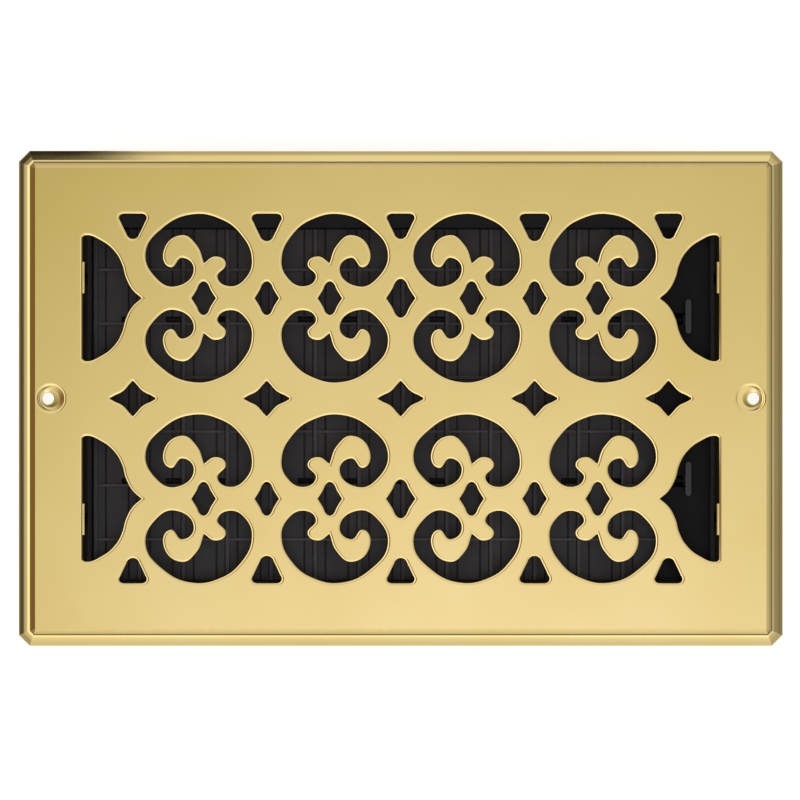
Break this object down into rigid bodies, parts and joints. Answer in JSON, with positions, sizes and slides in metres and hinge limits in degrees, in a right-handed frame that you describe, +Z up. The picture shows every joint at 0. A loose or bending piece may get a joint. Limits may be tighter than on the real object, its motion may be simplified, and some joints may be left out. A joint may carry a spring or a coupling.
{
  "type": "louvred wall register",
  "caption": "Pierced brass-finish air register plate over a black damper whose upright louvres turn together on two thumb-tab link bars.",
  "frame": {"origin": "centre of the wall opening, in the plane of the wall that the plate's rim rests on", "axes": "+X to the right seen from the room, +Y into the wall and the duct, +Z up; the pierced face looks along -Y"},
  "size_m": [0.2984, 0.026, 0.1934],
  "materials": {
    "polished_brass": "polished and lacquered, with a fine vertical grain",
    "frame_black": "moulded, satin",
    "box_black": "moulded, satin",
    "louvre_black": "moulded, satin",
    "link_black": "moulded, satin",
    "tab_black": "moulded, satin"
  },
  "bodies": {
    "register": {"faceplate": "polished_brass", "front_frame": "frame_black", "damper_box": "box_black"},
    "upper_control": {"control_bar_upper": "link_black", "thumb_tab_upper": "tab_black"},
    "lower_control": {"control_bar_lower": "link_black", "thumb_tab_lower": "tab_black"},
    "louvre_01": {"louvre_01": "louvre_black"},
    "louvre_02": {"louvre_02": "louvre_black"},
    "louvre_03": {"louvre_03": "louvre_black"},
    "louvre_04": {"louvre_04": "louvre_black"},
    "louvre_05": {"louvre_05": "louvre_black"},
    "louvre_06": {"louvre_06": "louvre_black"},
    "louvre_07": {"louvre_07": "louvre_black"},
    "louvre_08": {"louvre_08": "louvre_black"},
    "louvre_09": {"louvre_09": "louvre_black"},
    "louvre_10": {"louvre_10": "louvre_black"},
    "louvre_11": {"louvre_11": "louvre_black"},
    "louvre_12": {"louvre_12": "louvre_black"},
    "louvre_13": {"louvre_13": "louvre_black"}
  },
  "joints": [
    {"name": "upper_tab_slide", "type": "slide", "parent": "register", "child": "upper_control", "axis": [-1, 0, 0], "range_m": [0, 0.0086]},
    {"name": "lower_tab_slide", "type": "slide", "parent": "register", "child": "lower_control", "axis": [-1, 0, 0], "range_m": [0, 0.0086]},
    {"name": "louvre_01_pivot", "type": "hinge", "parent": "register", "child": "louvre_01", "pos_m": [-0.11102, 0.00516, -0.0024], "axis": [0, 0, 1], "range_deg": [0, 80]},
    {"name": "louvre_02_pivot", "type": "hinge", "parent": "register", "child": "louvre_02", "pos_m": [-0.09383, 0.00516, -0.0024], "axis": [0, 0, 1], "range_deg": [0, 80]},
    {"name": "louvre_03_pivot", "type": "hinge", "parent": "register", "child": "louvre_03", "pos_m": [-0.07662, 0.00516, -0.0024], "axis": [0, 0, 1], "range_deg": [0, 80]},
    {"name": "louvre_04_pivot", "type": "hinge", "parent": "register", "child": "louvre_04", "pos_m": [-0.05942, 0.00516, -0.0024], "axis": [0, 0, 1], "range_deg": [0, 80]},
    {"name": "louvre_05_pivot", "type": "hinge", "parent": "register", "child": "louvre_05", "pos_m": [-0.04222, 0.00516, -0.0024], "axis": [0, 0, 1], "range_deg": [0, 80]},
    {"name": "louvre_06_pivot", "type": "hinge", "parent": "register", "child": "louvre_06", "pos_m": [-0.02502, 0.00516, -0.0024], "axis": [0, 0, 1], "range_deg": [0, 80]},
    {"name": "louvre_07_pivot", "type": "hinge", "parent": "register", "child": "louvre_07", "pos_m": [-0.00783, 0.00516, -0.0024], "axis": [0, 0, 1], "range_deg": [0, 80]},
    {"name": "louvre_08_pivot", "type": "hinge", "parent": "register", "child": "louvre_08", "pos_m": [0.00937, 0.00516, -0.0024], "axis": [0, 0, 1], "range_deg": [0, 80]},
    {"name": "louvre_09_pivot", "type": "hinge", "parent": "register", "child": "louvre_09", "pos_m": [0.02658, 0.00516, -0.0024], "axis": [0, 0, 1], "range_deg": [0, 80]},
    {"name": "louvre_10_pivot", "type": "hinge", "parent": "register", "child": "louvre_10", "pos_m": [0.04378, 0.00516, -0.0024], "axis": [0, 0, 1], "range_deg": [0, 80]},
    {"name": "louvre_11_pivot", "type": "hinge", "parent": "register", "child": "louvre_11", "pos_m": [0.06098, 0.00516, -0.0024], "axis": [0, 0, 1], "range_deg": [0, 80]},
    {"name": "louvre_12_pivot", "type": "hinge", "parent": "register", "child": "louvre_12", "pos_m": [0.07817, 0.00516, -0.0024], "axis": [0, 0, 1], "range_deg": [0, 80]},
    {"name": "louvre_13_pivot", "type": "hinge", "parent": "register", "child": "louvre_13", "pos_m": [0.09538, 0.00516, -0.0024], "axis": [0, 0, 1], "range_deg": [0, 80]}
  ],
  "couplings": [
    {"joint": "lower_tab_slide", "follows": "upper_tab_slide", "ratio": 1},
    {"joint": "louvre_01_pivot", "follows": "upper_tab_slide", "rad_per_m": 162.35},
    {"joint": "louvre_02_pivot", "follows": "upper_tab_slide", "rad_per_m": 162.35},
    {"joint": "louvre_03_pivot", "follows": "upper_tab_slide", "rad_per_m": 162.35},
    {"joint": "louvre_04_pivot", "follows": "upper_tab_slide", "rad_per_m": 162.35},
    {"joint": "louvre_05_pivot", "follows": "upper_tab_slide", "rad_per_m": 162.35},
    {"joint": "louvre_06_pivot", "follows": "upper_tab_slide", "rad_per_m": 162.35},
    {"joint": "louvre_07_pivot", "follows": "upper_tab_slide", "rad_per_m": 162.35},
    {"joint": "louvre_08_pivot", "follows": "upper_tab_slide", "rad_per_m": 162.35},
    {"joint": "louvre_09_pivot", "follows": "upper_tab_slide", "rad_per_m": 162.35},
    {"joint": "louvre_10_pivot", "follows": "upper_tab_slide", "rad_per_m": 162.35},
    {"joint": "louvre_11_pivot", "follows": "upper_tab_slide", "rad_per_m": 162.35},
    {"joint": "louvre_12_pivot", "follows": "upper_tab_slide", "rad_per_m": 162.35},
    {"joint": "louvre_13_pivot", "follows": "upper_tab_slide", "rad_per_m": 162.35}
  ]
}
